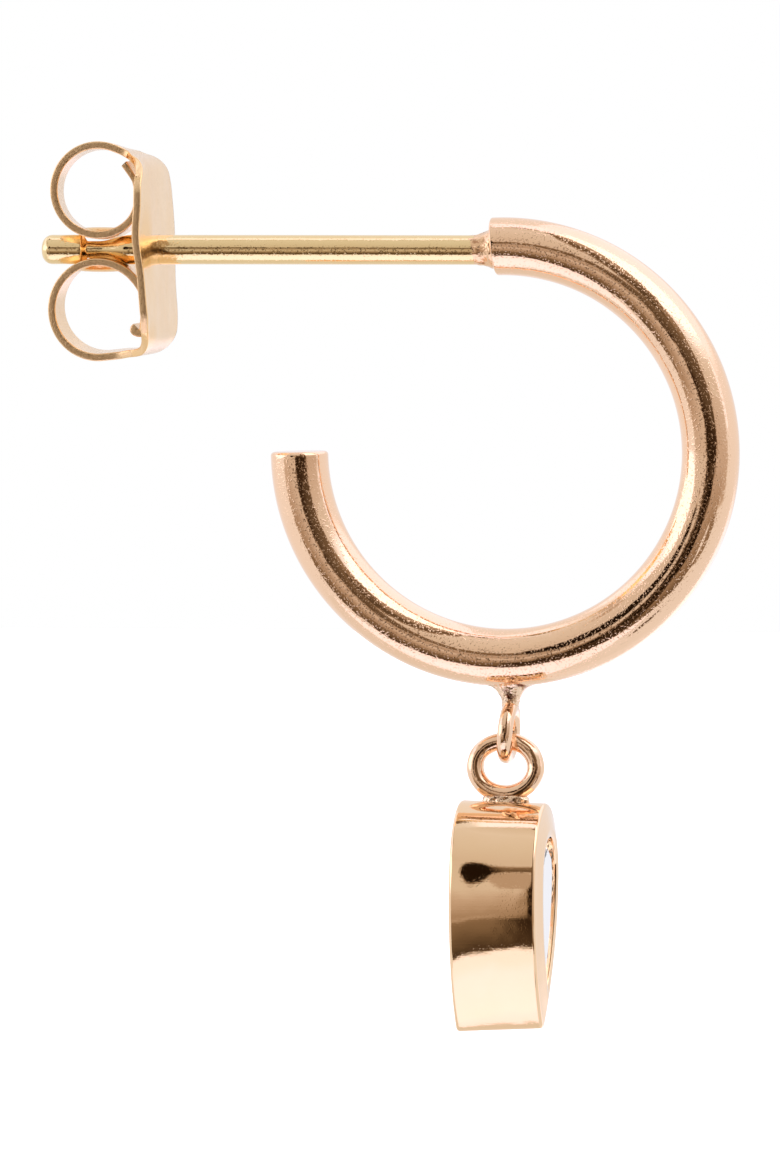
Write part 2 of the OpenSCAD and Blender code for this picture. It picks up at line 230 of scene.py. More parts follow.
def polished_gold(name, colour, tarnish, lines_mm, line_depth, pit_depth, roughness):
    """Carat gold, polished on a mop. It mirrors its surroundings, and the mop leaves faint lines along
    the wire, as long as lines_mm[0] and as wide as lines_mm[1]. Specks of grit leave fine pits, which
    glint where the mirror image is dark, and the colour is a little uneven."""
    grit_mm, ripple_mm, cloud_mm = 0.055, 0.7, 1.6
    ripple_depth = 0.008
    material, tree = new_material(name)
    place = node(tree, "ShaderNodeUVMap", uv_map="millimetres")
    stretched = node(tree, "ShaderNodeMapping",
                     {"Vector": place.outputs[0], "Scale": (1 / lines_mm[0], 1 / lines_mm[1], 1)})
    lines = node(tree, "ShaderNodeTexNoise",
                 {"Vector": stretched.outputs[0], "Scale": 1.0, "Detail": 4.0, "Roughness": 0.6})
    where = node(tree, "ShaderNodeTexCoord").outputs["Object"]
    # The pits are drawn about two pixels wide, coarser than real ones
    grit = node(tree, "ShaderNodeTexNoise", {"Vector": where, "Scale": 1 / (grit_mm * MM), "Detail": 1.0})
    pits = node(tree, "ShaderNodeMapRange",
                {"Value": grit.outputs["Fac"], "From Min": 0.57, "From Max": 0.73})
    ripple = node(tree, "ShaderNodeTexNoise", {"Vector": where, "Scale": 1 / (ripple_mm * MM), "Detail": 1.0})
    cloud = node(tree, "ShaderNodeTexNoise", {"Vector": where, "Scale": 1 / (cloud_mm * MM), "Detail": 3.0})
    fine = node(tree, "ShaderNodeBump", {"Height": lines.outputs["Fac"], "Distance": line_depth * MM})
    pitted = node(tree, "ShaderNodeBump",
                  {"Height": pits.outputs[0], "Distance": pit_depth * MM, "Normal": fine.outputs[0]})
    soft = node(tree, "ShaderNodeBump",
                {"Height": ripple.outputs["Fac"], "Distance": ripple_depth * MM, "Normal": pitted.outputs[0]})
    tint = node(tree, "ShaderNodeMix",
                {"Factor": cloud.outputs["Fac"], 6: linear(colour), 7: linear(tarnish)}, data_type="RGBA")
    dull = node(tree, "ShaderNodeMapRange",
                {"Value": lines.outputs["Fac"], "From Min": 0.3, "From Max": 0.75,
                 "To Min": roughness * 0.6, "To Max": roughness * 1.6})
    gold = node(tree, "ShaderNodeBsdfPrincipled",
                {"Base Color": tint.outputs[2], "Metallic": 1.0, "Roughness": dull.outputs[0],
                 "Normal": soft.outputs[0]})
    node(tree, "ShaderNodeOutputMaterial", {"Surface": gold.outputs[0]})
    return material


def hard_solder(name, colour, flux, grain_depth):
    """Gold hard solder as it froze: a grainy, pitted skin, part brown where the flux burnt"""
    grain_mm, stain_mm = 0.12, 0.3
    material, tree = new_material(name)
    where = node(tree, "ShaderNodeTexCoord").outputs["Object"]
    grain = node(tree, "ShaderNodeTexNoise", {"Vector": where, "Scale": 1 / (grain_mm * MM), "Detail": 2.0})
    patch = node(tree, "ShaderNodeTexNoise", {"Vector": where, "Scale": 1 / (stain_mm * MM), "Detail": 2.0})
    stain = node(tree, "ShaderNodeMapRange",
                 {"Value": patch.outputs["Fac"], "From Min": 0.56, "From Max": 0.68})
    tint = node(tree, "ShaderNodeMix",
                {"Factor": stain.outputs[0], 6: linear(colour), 7: linear(flux)}, data_type="RGBA")
    bumps = node(tree, "ShaderNodeBump", {"Height": grain.outputs["Fac"], "Distance": grain_depth * MM})
    gold = node(tree, "ShaderNodeBsdfPrincipled",
                {"Base Color": tint.outputs[2], "Metallic": 1.0, "Roughness": 0.16,
                 "Normal": bumps.outputs[0]})
    node(tree, "ShaderNodeOutputMaterial", {"Surface": gold.outputs[0]})
    return material


def cut_diamond():
    """Colourless diamond with polished facets: high IOR, so it breaks its surroundings into bright and
    dark patches"""
    material, tree = new_material("cut_diamond")
    diamond = node(tree, "ShaderNodeBsdfPrincipled",
                   {"Base Color": linear("#fdfcff"), "Metallic": 0.0, "Roughness": 0.0, "IOR": 2.42,
                    "Transmission Weight": 1.0})
    node(tree, "ShaderNodeOutputMaterial", {"Surface": diamond.outputs[0]})
    return material


ROSE_TUBE = polished_gold("rose_gold_tube", "#fedab9", "#fbd4af", (2.4, 0.06), 0.0009, 0.0032, 0.04)
ROSE_WIRE = polished_gold("rose_gold_wire", "#fddbba", "#f8cfaa", (0.8, 0.06), 0.0008, 0.0012, 0.03)
POST_WIRE = polished_gold("yellow_gold_wire", "#f9e0ae", "#f4d69e", (2.4, 0.06), 0.0010, 0.0020, 0.07)
SETTING_GOLD = polished_gold("gold_setting", "#fddcb6", "#fad5aa", (3.0, 0.09), 0.0007, 0.0003, 0.05)
SHEET_GOLD = polished_gold("rolled_gold_sheet", "#fedba6", "#f4c78c", (1.8, 0.07), 0.0040, 0.0022, 0.14)
SHEARED_EDGE = polished_gold("sheared_gold_edge", "#fde0b4", "#ecc28c", (0.1, 0.06), 0.0060, 0.0040, 0.36)
SOLDER = hard_solder("gold_solder", "#fbdcbc", "#7c4a33", 0.05)
POST_SOLDER = hard_solder("flowed_gold_solder", "#f6cda4", "#a8744c", 0.02)
DIAMOND = cut_diamond()


# Hoop

def hoop_frame(angle):
    """Middle of the hoop's tube at an angle, its way out from the hoop's middle and its way along"""
    a = math.radians(angle)
    middle = np.array([HOOP_X + HOOP_WIDE * math.cos(a), 0.0, HOOP_Z + HOOP_HIGH * math.sin(a)])
    ahead = np.array([-HOOP_WIDE * math.sin(a), 0.0, HOOP_HIGH * math.cos(a)])
    ahead = ahead / np.linalg.norm(ahead)
    return middle, np.array([ahead[2], 0.0, -ahead[0]]), ahead


def hoop_tube():
    """Round tube, a hair uneven from bending, with softened rims at both cut ends. The cut at the post is
    a little askew, and the tube bends into it over its last few degrees."""
    free_edge, post_edge = 0.11, 0.06
    askew, askew_over = 0.07, 9
    start = FREE_END + math.degrees(free_edge / HOOP_R)
    stop = POST_END - math.degrees(post_edge / HOOP_R)
    turns = np.radians(np.linspace(0, 90, 9))
    stations = [(start, -free_edge * math.sin(a), TUBE_R - free_edge * (1 - math.cos(a)))
                for a in turns[::-1]]
    stations += [(angle, 0.0, TUBE_R) for angle in np.linspace(start, stop, 460)[1:-1]]
    stations += [(stop, post_edge * math.sin(a), TUBE_R - post_edge * (1 - math.cos(a))) for a in turns]
    rows = []
    for angle, shift, radius in stations:
        middle, out, ahead = hoop_frame(angle)
        row = ring_of(middle + ahead * shift, out, np.array([0.0, 1.0, 0.0]), radius, 96)
        slant = askew * float(eased((angle - stop + askew_over) / askew_over))
        row = row + np.outer(((row - middle) @ out) * slant, ahead)
        rows.append(rough(row, size=1.7, depth=0.004))
    return skin("hoop_tube", rows)


# The notch that stops the clutch: a slope, a neck and a step, at distances from the tube's end
NOTCH_R = 0.23
NOTCH_SLOPE = 9.96
NOTCH_NECK = 10.84
NOTCH_STEP = 11.14
NOTCH_END = 11.3


def post_radius(back):
    """Radius of the post at a distance from the tube's end"""
    if back < NOTCH_STEP:
        share = eased((back - NOTCH_SLOPE) / (NOTCH_NECK - NOTCH_SLOPE))
    else:
        share = 1 - eased((back - NOTCH_STEP) / (NOTCH_END - NOTCH_STEP))
    return POST_R + (NOTCH_R - POST_R) * float(share)


def post():
    """Drawn wire with the notch that stops the clutch and a rounded tip"""
    length = -hoop_low.x
    sunk = 0.4
    tip = 0.28
    plain = np.linspace(-sunk, NOTCH_SLOPE - 0.06, 60)
    notched = np.linspace(NOTCH_SLOPE - 0.01, length - tip, 90)
    profile = [(back, post_radius(back)) for back in np.concatenate([plain, notched])]
    for a in np.radians(np.linspace(0, 90, 12)[1:]):
        profile.append((length - tip + tip * math.sin(a), POST_R - tip + tip * math.cos(a)))
    return skin("post", lathe(profile, (0, 0, 0), (-1, 0, 0), (0, 1, 0), 64))


def post_solder():
    """Solder that ran out along the post from the tube's end, thinner underneath"""
    length = 0.65
    foot = 0.6
    sunk = 0.05
    thinner = 0.4
    rows = []
    for share in np.linspace(1.12, -0.12, 44):
        a = math.radians(90 * min(max(share, 0.0), 1.0))
        reach = POST_R + (foot - POST_R) * (1 - math.sin(a)) - (sunk if share > 1 else 0.0)
        row = ring_of((-length * share, 0, 0), (0, 1, 0), (0, 0, 1), reach, 72)
        high = 0.5 + 0.5 * row[:, 2] / reach
        row[:, 1:] *= (1 - thinner * (1 - POST_R / reach + 0.1) * (1 - high))[:, None]
        row = rough(row, size=0.33, depth=0.05 * max(0.0, 1 - share), seed=3.0)
        rows.append(rough(row, size=0.12, depth=0.012, seed=5.0))
    return skin("post_solder", rows, sharp=180)


def hanging_ring():
    """Small wire ring under the hoop, edge on to the hoop and leaning a little"""
    up = np.array([math.sin(RING_LEAN), 0.0, math.cos(RING_LEAN)])
    across = np.array([0.0, 1.0, 0.0])
    face = np.cross(across, up)
    middle = np.array(SWING) + up * RING_R
    rows = []
    for a in np.arange(160) * TURN / 160:
        out = across * math.cos(a) + up * math.sin(a)
        rows.append(rough(ring_of(middle + out * RING_R, out, face, WIRE_R, 48), size=0.5, depth=0.006))
    return skin("hanging_ring", rows, closed=True)


def hanging_solder():
    """Neck of solder between the small ring and the hoop, pooled along the hoop's underside"""
    top_x = SWING.x + RING_R * 2 * math.sin(RING_LEAN)
    neck_z = SWING.z + RING_R * 2 * math.cos(RING_LEAN) + 0.02
    neck_r = 0.235
    foot_x, foot_y = 0.66, 0.4
    drip, sunk = 0.4, 0.6
    angles = np.arange(96) * TURN / 96
    foot = foot_x * foot_y / np.hypot(foot_y * np.cos(angles), foot_x * np.sin(angles))
    rows = []
    for share in np.linspace(-0.25, 1.1, 40):
        below, above = min(share, 0.0), max(share - 1, 0.0)
        a = math.radians(90 * min(max(share, 0.0), 1.0))
        reach = (neck_r + (foot - neck_r) * (1 - math.cos(a))) * (1 + below)
        x = top_x + reach * np.cos(angles)
        y = reach * np.sin(angles)
        out = np.sqrt(np.maximum(TUBE_R ** 2 - y ** 2, 0.01))
        tube_z = HOOP_Z - np.sqrt((HOOP_HIGH + out) ** 2 - (x - HOOP_X) ** 2)
        z = neck_z + (tube_z - neck_z) * math.sin(a) + sunk * above + drip * below
        row = rough(np.stack([x, y, z], axis=1), size=0.3, depth=0.035, seed=9.0)
        rows.append(rough(row, size=0.09, depth=0.016, seed=2.0))
    return skin("hanging_solder", rows, sharp=180)


# Charm

SET_W = 4.0
SET_H = 6.05
SET_DEPTH = 2.36
HEAD_R = SET_W / 2
TIP_R = 0.3
TIP_DROP = SET_H - HEAD_R - TIP_R
SIDE_R = (TIP_DROP ** 2 + HEAD_R ** 2 - TIP_R ** 2) / (2 * (HEAD_R - TIP_R))
HEAD_Z = setting_low.z + SET_H - HEAD_R
BACK_X = setting_low.x
# Depths from the back: the rim's crest, a hair above the solid part's, and the wall's fullest line
CREST = setting_high.x - BACK_X + 0.05
FULLEST = 1.66
# The stone, a hair larger than its solid part: its inset from the wall, its crown's width and height,
# and the depths of its table and girdle
STONE_INSET = HEAD_R - stone_high.y - 0.08
CROWN_W = 0.5
CROWN_H = 0.36
TABLE = stone_high.x - BACK_X
GIRDLE_TOP = TABLE - CROWN_H
GIRDLE_LOW = GIRDLE_TOP - 0.06
# How far the charm hangs out of true, in degrees
CHARM_LEAN = 0.5
CHARM_TILT = 5.2


def pear(inset, n_head=120, n_side=64, n_tip=25):
    """Pear outline drawn in by some distance: round head, two long arcs and a small round tip"""
    long_r = SIDE_R - inset
    tip_r = max(TIP_R - inset, 0.03)
    tip_at = math.sqrt((long_r - tip_r) ** 2 - (SIDE_R - HEAD_R) ** 2)
    reach = math.atan2(tip_at, SIDE_R - HEAD_R)
    head = np.linspace(0, math.pi, n_head, endpoint=False)
    side = np.linspace(0, reach, n_side, endpoint=False)
    tip = np.linspace(-math.pi + reach, -reach, n_tip, endpoint=False)
    left = np.stack([SIDE_R - HEAD_R - long_r * np.cos(side), -long_r * np.sin(side)], axis=1)
    right = (left * [-1, 1])[::-1]
    end = np.array([[long_r * math.cos(reach) - SIDE_R + HEAD_R, -long_r * math.sin(reach)]])
    return np.concatenate([
        (HEAD_R - inset) * np.stack([np.cos(head), np.sin(head)], axis=1),
        left,
        np.stack([tip_r * np.cos(tip), tip_r * np.sin(tip) - tip_at], axis=1),
        end,
        right[:-1],
    ])


def in_charm(outline, depth):
    """Outline of the charm at a depth from its back face, as points of the frame"""
    return np.stack([np.full(len(outline), BACK_X + depth), outline[:, 0], HEAD_Z + outline[:, 1]], axis=1)


def flared(row):
    """Outline of the setting with its side walls crowned by polishing and its back a little taller"""
    x, y, z = row.T
    depth = x - BACK_X
    middle = setting_low.z + SET_H / 2
    behind, before = np.maximum(FULLEST - depth, 0), np.maximum(depth - FULLEST, 0)
    crown = (0.0325 * behind ** 3 + 0.01 * before ** 2) / HEAD_R
    tall = 1.03 - 0.018 * depth
    lift = (0.035 + 0.033 * depth) * (z - setting_low.z) / SET_H
    bulge = 0.03 * eased(1 - depth / 1.2)
    return np.stack([x - bulge, y * (1 - crown), middle + (z - middle) * tall + lift], axis=1)


def corner(middle, radius, start, end, steps=7):
    """Points of a rounded corner in a profile, as (inset, depth)"""
    angles = np.radians(np.linspace(start, end, steps))
    return [(middle[0] + radius * math.cos(a), middle[1] + radius * math.sin(a)) for a in angles]


def pear_setting():
    """Thick-walled pear setting, its rim domed over the stone. The profile holds insets from the wall and
    depths from the back, and runs over the back, up the wall, over the rim and down to the stone's seat."""
    rounding = 0.1
    rim_w, rim_crest, rim_drop = 0.9, 0.68, CREST - SET_DEPTH - 0.08
    bore = STONE_INSET + 0.2
    play = 0.02
    seat = GIRDLE_LOW - 0.23
    profile = [(bore, 0.06), (bore - 0.02, 0.02), (bore - 0.06, 0.0), (0.5, 0.0), (0.3, 0.0)]
    profile += corner((rounding, rounding), rounding, 270, 180, 9)
    profile += [(0.0, depth) for depth in np.linspace(rounding, SET_DEPTH - rounding, 18)[1:-1]]
    profile += corner((rounding, SET_DEPTH - rounding), rounding, 180, 115, 9)
    inset, depth = profile[-1]
    for share in np.linspace(0, 1, 16)[1:]:
        dome = math.sin(math.radians(90 * share))
        profile.append((inset + (rim_crest - inset) * (0.35 * share + 0.65 * dome),
                        depth + (CREST - depth) * (0.2 * share + 0.8 * dome ** 1.2)))
    for share in np.linspace(0, 1, 7)[1:]:
        profile.append((rim_crest + (rim_w - rim_crest) * share, CREST - rim_drop * share ** 1.8))
    profile += [(rim_w + 0.004, SET_DEPTH + 0.07), (rim_w + 0.006, SET_DEPTH)]
    profile += [(rim_w, GIRDLE_TOP + CROWN_H * (rim_w - STONE_INSET) / CROWN_W + 2 * play),
                (STONE_INSET - play, GIRDLE_TOP + play), (STONE_INSET - play, GIRDLE_LOW - play),
                (STONE_INSET - play, seat), (bore, seat), (bore, seat - 0.05)]
    rows = [flared(in_charm(pear(inset), depth)) for inset, depth in profile]
    return skin("pear_setting", rows, closed=True, sharp=30)


def stone_point(k, inset):
    """Point k of 16 round the pear outline, the tip being point 12"""
    if k <= 8:
        return (HEAD_R - inset) * np.array([math.cos(TURN * k / 16), math.sin(TURN * k / 16)])
    long_r = SIDE_R - inset
    reach = math.acos((SIDE_R - HEAD_R) / long_r)
    share = (k - 8) / 4 if k <= 12 else (16 - k) / 4
    x = long_r * math.cos(reach * share) - SIDE_R + HEAD_R
    return np.array([-x if k <= 12 else x, -long_r * math.sin(reach * share)])


def pear_stone():
    """Pear brilliant: table, stars, kites, upper and lower girdle facets and pavilion mains"""
    star_share = 0.55
    main_share, main_drop, culet_drop = 0.26, 0.81, 1.05
    culet = np.array([0.0, -TIP_DROP * 0.16])
    mains = [stone_point(2 * k + 1, STONE_INSET) * main_share + culet * (1 - main_share) for k in range(8)]
    levels = [
        [(stone_point(2 * k, STONE_INSET + CROWN_W), TABLE) for k in range(8)],
        [(stone_point(2 * k + 1, STONE_INSET + star_share * CROWN_W), GIRDLE_TOP + star_share * CROWN_H)
         for k in range(8)],
        [(stone_point(k, STONE_INSET), GIRDLE_TOP) for k in range(16)],
        [(stone_point(k, STONE_INSET), GIRDLE_LOW) for k in range(16)],
        [(main, GIRDLE_LOW - main_drop) for main in mains],
        [(culet, GIRDLE_LOW - culet_drop)],
    ]
    points = np.array([in_charm(p[None, :], depth)[0] for level in levels for p, depth in level])
    star, top, low, pavilion, tip = 8, 16, 32, 48, 56
    faces = [tuple(range(8))]
    for k in range(8):
        after, before = (k + 1) % 8, (k + 7) % 8
        faces += [
            (after, star + k, k),
            (k, star + k, top + 2 * k),
            (k, top + 2 * k, star + before),
            (star + k, top + 2 * k + 1, top + 2 * k),
            (star + k, top + (2 * k + 2) % 16, top + 2 * k + 1),
            (low + 2 * k, low + 2 * k + 1, pavilion + k),
            (low + 2 * k + 1, low + (2 * k + 2) % 16, pavilion + k),
            (low + 2 * k, pavilion + k, tip),
            (low + 2 * k, tip, pavilion + before),
        ]
    faces += [(top + j, top + (j + 1) % 16, low + (j + 1) % 16, low + j) for j in range(16)]
    piece = mesh_piece("pear_diamond", points, faces, sharp=0)
    piece.data.shade_flat()
    return piece


def hung(piece):
    """The charm hangs a little out of true, its tip towards the post and towards the camera"""
    lean = Matrix.Rotation(math.radians(CHARM_LEAN), 4, "Y")
    tilt = Matrix.Rotation(math.radians(-CHARM_TILT), 4, "X")
    pivot = SWING * MM
    piece.data.transform(Matrix.Translation(pivot) @ lean @ tilt @ Matrix.Translation(-pivot))
    return piece


def charm_ring():
    """Oval ring of round wire over the setting"""
    wire_r = 0.235
    wide, high = 0.83, 0.715
    middle = np.array([SWING.x - 0.025, 0.0, SWING.z - 0.3])
    across, up, y_way = np.array([1.0, 0, 0]), np.array([0, 0, 1.0]), np.array([0, 1.0, 0])
    rows = []
    for a in np.arange(180) * TURN / 180:
        out = across * math.cos(a) / wide + up * math.sin(a) / high
        out = out / np.linalg.norm(out)
        point = middle + across * wide * math.cos(a) + up * high * math.sin(a)
        rows.append(rough(ring_of(point, out, y_way, wire_r, 48), size=0.4, depth=0.012, seed=4.0))
    return skin("charm_ring", rows, closed=True)


def charm_solder():
    """Grainy seat of solder that holds the oval ring on the setting"""
    top = SWING.z - 1.03
    foot = setting_low.z + SET_H - 0.14
    squarish = 0.6
    angles = np.arange(96) * TURN / 96
    flat_x = np.sign(np.cos(angles)) * np.abs(np.cos(angles)) ** squarish
    flat_y = np.sign(np.sin(angles)) * np.abs(np.sin(angles)) ** squarish
    rows = []
    for share in np.linspace(0, 1, 30):
        z = top + (foot - top) * share
        grown = 0.72 + 0.28 * float(eased(share / 0.18))
        wide = (0.62 + 0.12 * share ** 3) * grown
        deep = (0.25 + 0.07 * share ** 3) * grown
        row = np.stack([SWING.x + wide * flat_x, deep * flat_y, np.full(96, z)], axis=1)
        rows.append(rough(rough(row, size=0.28, depth=0.06, seed=1.0), size=0.12, depth=0.06, seed=7.0))
    return skin("charm_solder", rows, sharp=180)


# Clutch

SHEET = 0.205
BORE_R = POST_R + 0.005
PLATE_X = clutch_high.x
PLATE_W = 4.4
STRIP_W = 1.35
# Distance from the plate's middle at which it starts to narrow
PLATE_FULL = 1.5
# Each curl in side view from the plate's middle: its middle and half sizes, the angle at which the sheet
# enters it, the height up to which the plate is flat, and the length over which it narrows to the strip
CURLS = {
    "upper": dict(middle=(-1.62, 1.6), radii=(1.32, 1.32), enters=70, flat=2.0, narrows=1.75),
    "lower": dict(middle=(-1.595, 1.585), radii=(1.375, 1.395), enters=84, flat=2.2, narrows=2.2),
}
# A face of the sheet that looks this much sideways is a sheared edge
SIDEWAYS = 0.8


def arc_steps(middle, radii, start, end, step=3.0):
    """Points on an oval arc of the clutch's side view, with the way that the sheet's face looks there"""
    angles = np.radians(np.linspace(start, end, max(3, int(abs(end - start) / step))))
    return [((middle[0] + radii[0] * math.cos(a), middle[1] + radii[1] * math.sin(a)),
             (math.cos(a), math.sin(a))) for a in angles]


def bend_on(path, radius, start, end, step=3.0):
    """The path carried on along an arc that leaves it smoothly and bends the same way"""
    (x, z), way = path[-1]
    middle = (x - radius * way[0], z - radius * way[1])
    return path + arc_steps(middle, (radius, radius), start, end, step)[1:]


def run_on(path, length):
    """The path carried on straight"""
    (x, z), way = path[-1]
    reaches = length * np.linspace(0, 1, 8)[1:]
    return path + [((x - reach * way[1], z + reach * way[0]), way) for reach in reaches]


def curl_path(side):
    """Side view of half the clutch's outer face, from the plate's middle to the strip's end, as points
    and outward ways. The upper strip's end is tucked up inside its own start, and the lower one's lies
    along the plate and is rolled over at its tip."""
    curl = CURLS[side]
    middle, radii, enters, flat = curl["middle"], curl["radii"], curl["enters"], curl["flat"]
    start = math.radians(enters)
    way = (math.cos(start), math.sin(start))
    strip = (middle[0] + radii[0] * way[0], middle[1] + radii[1] * way[1])
    corner_z = strip[1] + strip[0] / math.tan(start)
    bend_r = (corner_z - flat) / math.tan(start / 2)
    path = [((0.0, z), (1.0, 0.0)) for z in np.linspace(0, flat, 60)[:-1]]
    path += arc_steps((-bend_r, flat), (bend_r, bend_r), 0, enters, 6)
    leave = path[-1][0]
    for share in np.linspace(0, 1, 12)[1:-1]:
        x = leave[0] + (strip[0] - leave[0]) * share
        z = leave[1] + (strip[1] - leave[1]) * share
        path.append(((x, z), way))
    if side == "upper":
        path += arc_steps(middle, radii, enters, 330)
        path = bend_on(path, radii[0] - 0.19, 330, 380)
        path = bend_on(path, 0.4, 380, 402)
        return run_on(path, 0.5)
    path += arc_steps(middle, radii, enters, 342)
    path = bend_on(path, 0.8, 342, 365)
    path = run_on(path, 0.7)
    return bend_on(path, 0.2, 365, 595, 10)


def strip_section(half):
    """Cross-section of the sheet, as places across it and depths under its outer face, with sheared
    edges that are flat but for small round corners"""
    corner_r = 0.035
    steps = 41
    flat = half - corner_r
    across = np.linspace(-flat, flat, steps)
    turns = np.radians([90, 60, 30, 0])
    side = flat + corner_r * np.cos(turns)
    top = corner_r * (1 - np.sin(turns))
    outer, inner = np.zeros(steps), np.full(steps, SHEET)
    y = np.concatenate([across, side, side[::-1], -across, -side, -side[::-1]])
    deep = np.concatenate([outer, top, SHEET - top[::-1], inner, SHEET - top, top[::-1]])
    return y, deep


def clutch():
    """Butterfly clutch: one strip of rolled sheet, stamped with a rounded plate and curled at both ends.
    The plate is a little out of true, and each curl is dented where it rides on the post."""
    upper = curl_path("upper")
    lower = [((x, -z), (wx, -wz)) for (x, z), (wx, wz) in curl_path("lower")]
    path = lower[:0:-1] + upper
    points = np.array([p for p, _ in path])
    lengths = np.concatenate([[0], np.cumsum(np.linalg.norm(np.diff(points, axis=0), axis=1))])
    lengths = lengths - lengths[len(lower) - 1]
    past = np.abs(lengths) - PLATE_FULL
    share = np.clip(past / np.where(lengths > 0, CURLS["upper"]["narrows"], CURLS["lower"]["narrows"]), 0, 1)
    halves = STRIP_W / 2 + (PLATE_W - STRIP_W) / 2 * (1 - share ** 2) ** 1.8
    rows = []
    for ((x, z), (wx, wz)), half in zip(path, halves):
        y, deep = strip_section(half)
        row = wound(np.stack([x - deep * wx, y, z - deep * wz], axis=1))
        rides_on_post = x < -0.45 and abs(wz) > 0.3 and abs(z) < 0.6
        if rides_on_post:
            face_z = row[:, 2] + deep * wz
            room = np.sqrt(np.maximum(BORE_R ** 2 - y ** 2, 0)) - abs(face_z)
            row[:, 2] += math.copysign(1, z) * np.maximum(room, 0)
        rows.append(bent_plate(row))
    return drilled(skin("clutch_sheet", rows, sharp=50))


def wound(row):
    """The curls are wound a hair askew: the strip's far edge lies off its near one"""
    x, y, z = row.T
    curl = eased((-0.6 - x) / 0.5)
    return np.stack([x - 0.07 * y * curl * (z > 0), y, z - 0.045 * y * curl * np.sign(z)], axis=1)


def bent_plate(row):
    """The plate leans back at its top, and its edges are waved by handling, most at the near side"""
    x, y, z = row.T
    flat = eased((x + 0.75) / 0.35)
    side = eased((np.abs(y) - 0.9) / 1.3)
    near = side * (y < 0)
    crest = 0.12 * eased((z - 1.9) / 0.9)
    dips = 0.1 * eased((-z - 1.7) / 0.7) + 0.15 * np.exp(-((z - 0.4) / 0.8) ** 2)
    wave = (crest - dips) * near + 0.02 * np.sin(z * 2.1 + 0.5) * side
    x = x + flat * (wave - 0.043 * z)
    return np.stack([x + PLATE_X, y, z], axis=1)


def drilled(piece):
    """The piece with the post's hole cut through it"""
    hole = skin("hole", lathe([(-1, BORE_R), (1, BORE_R)], (PLATE_X, 0, 0), (-1, 0, 0), (0, 1, 0), 64))
    cut = piece.modifiers.new("hole", "BOOLEAN")
    cut.object = hole
    cut.operation = "DIFFERENCE"
    cut.solver = "EXACT"
    shown = bpy.data.meshes.new_from_object(piece.evaluated_get(bpy.context.evaluated_depsgraph_get()))
    piece.modifiers.clear()
    shown.name = piece.name
    piece.data = shown
    shown.set_sharp_from_angle(angle=math.radians(50))
    bpy.data.objects.remove(hole)
    return piece


dress(hoop_tube(), ROSE_TUBE, "earring", "hoop_gold", "hoop")
dress(post(), POST_WIRE, "earring", "hoop_gold")
dress(post_solder(), POST_SOLDER, "earring", "hoop_gold")
dress(hanging_ring(), ROSE_WIRE, "earring", "hoop_gold")
dress(hanging_solder(), SOLDER, "earring", "hoop_gold")
dress(hung(pear_setting()), SETTING_GOLD, "charm", "setting_gold", "charm_setting")
dress(hung(charm_ring()), ROSE_WIRE, "charm", "setting_gold")
dress(hung(charm_solder()), SOLDER, "charm", "setting_gold")
dress(hung(pear_stone()), DIAMOND, "charm", "stone", "pear_stone")
back = dress(clutch(), SHEET_GOLD, "earring_back", "clutch_gold", "clutch")
back.data.materials.append(SHEARED_EDGE)
for face in back.data.polygons:
    face.material_index = int(abs(face.normal.y) > SIDEWAYS)


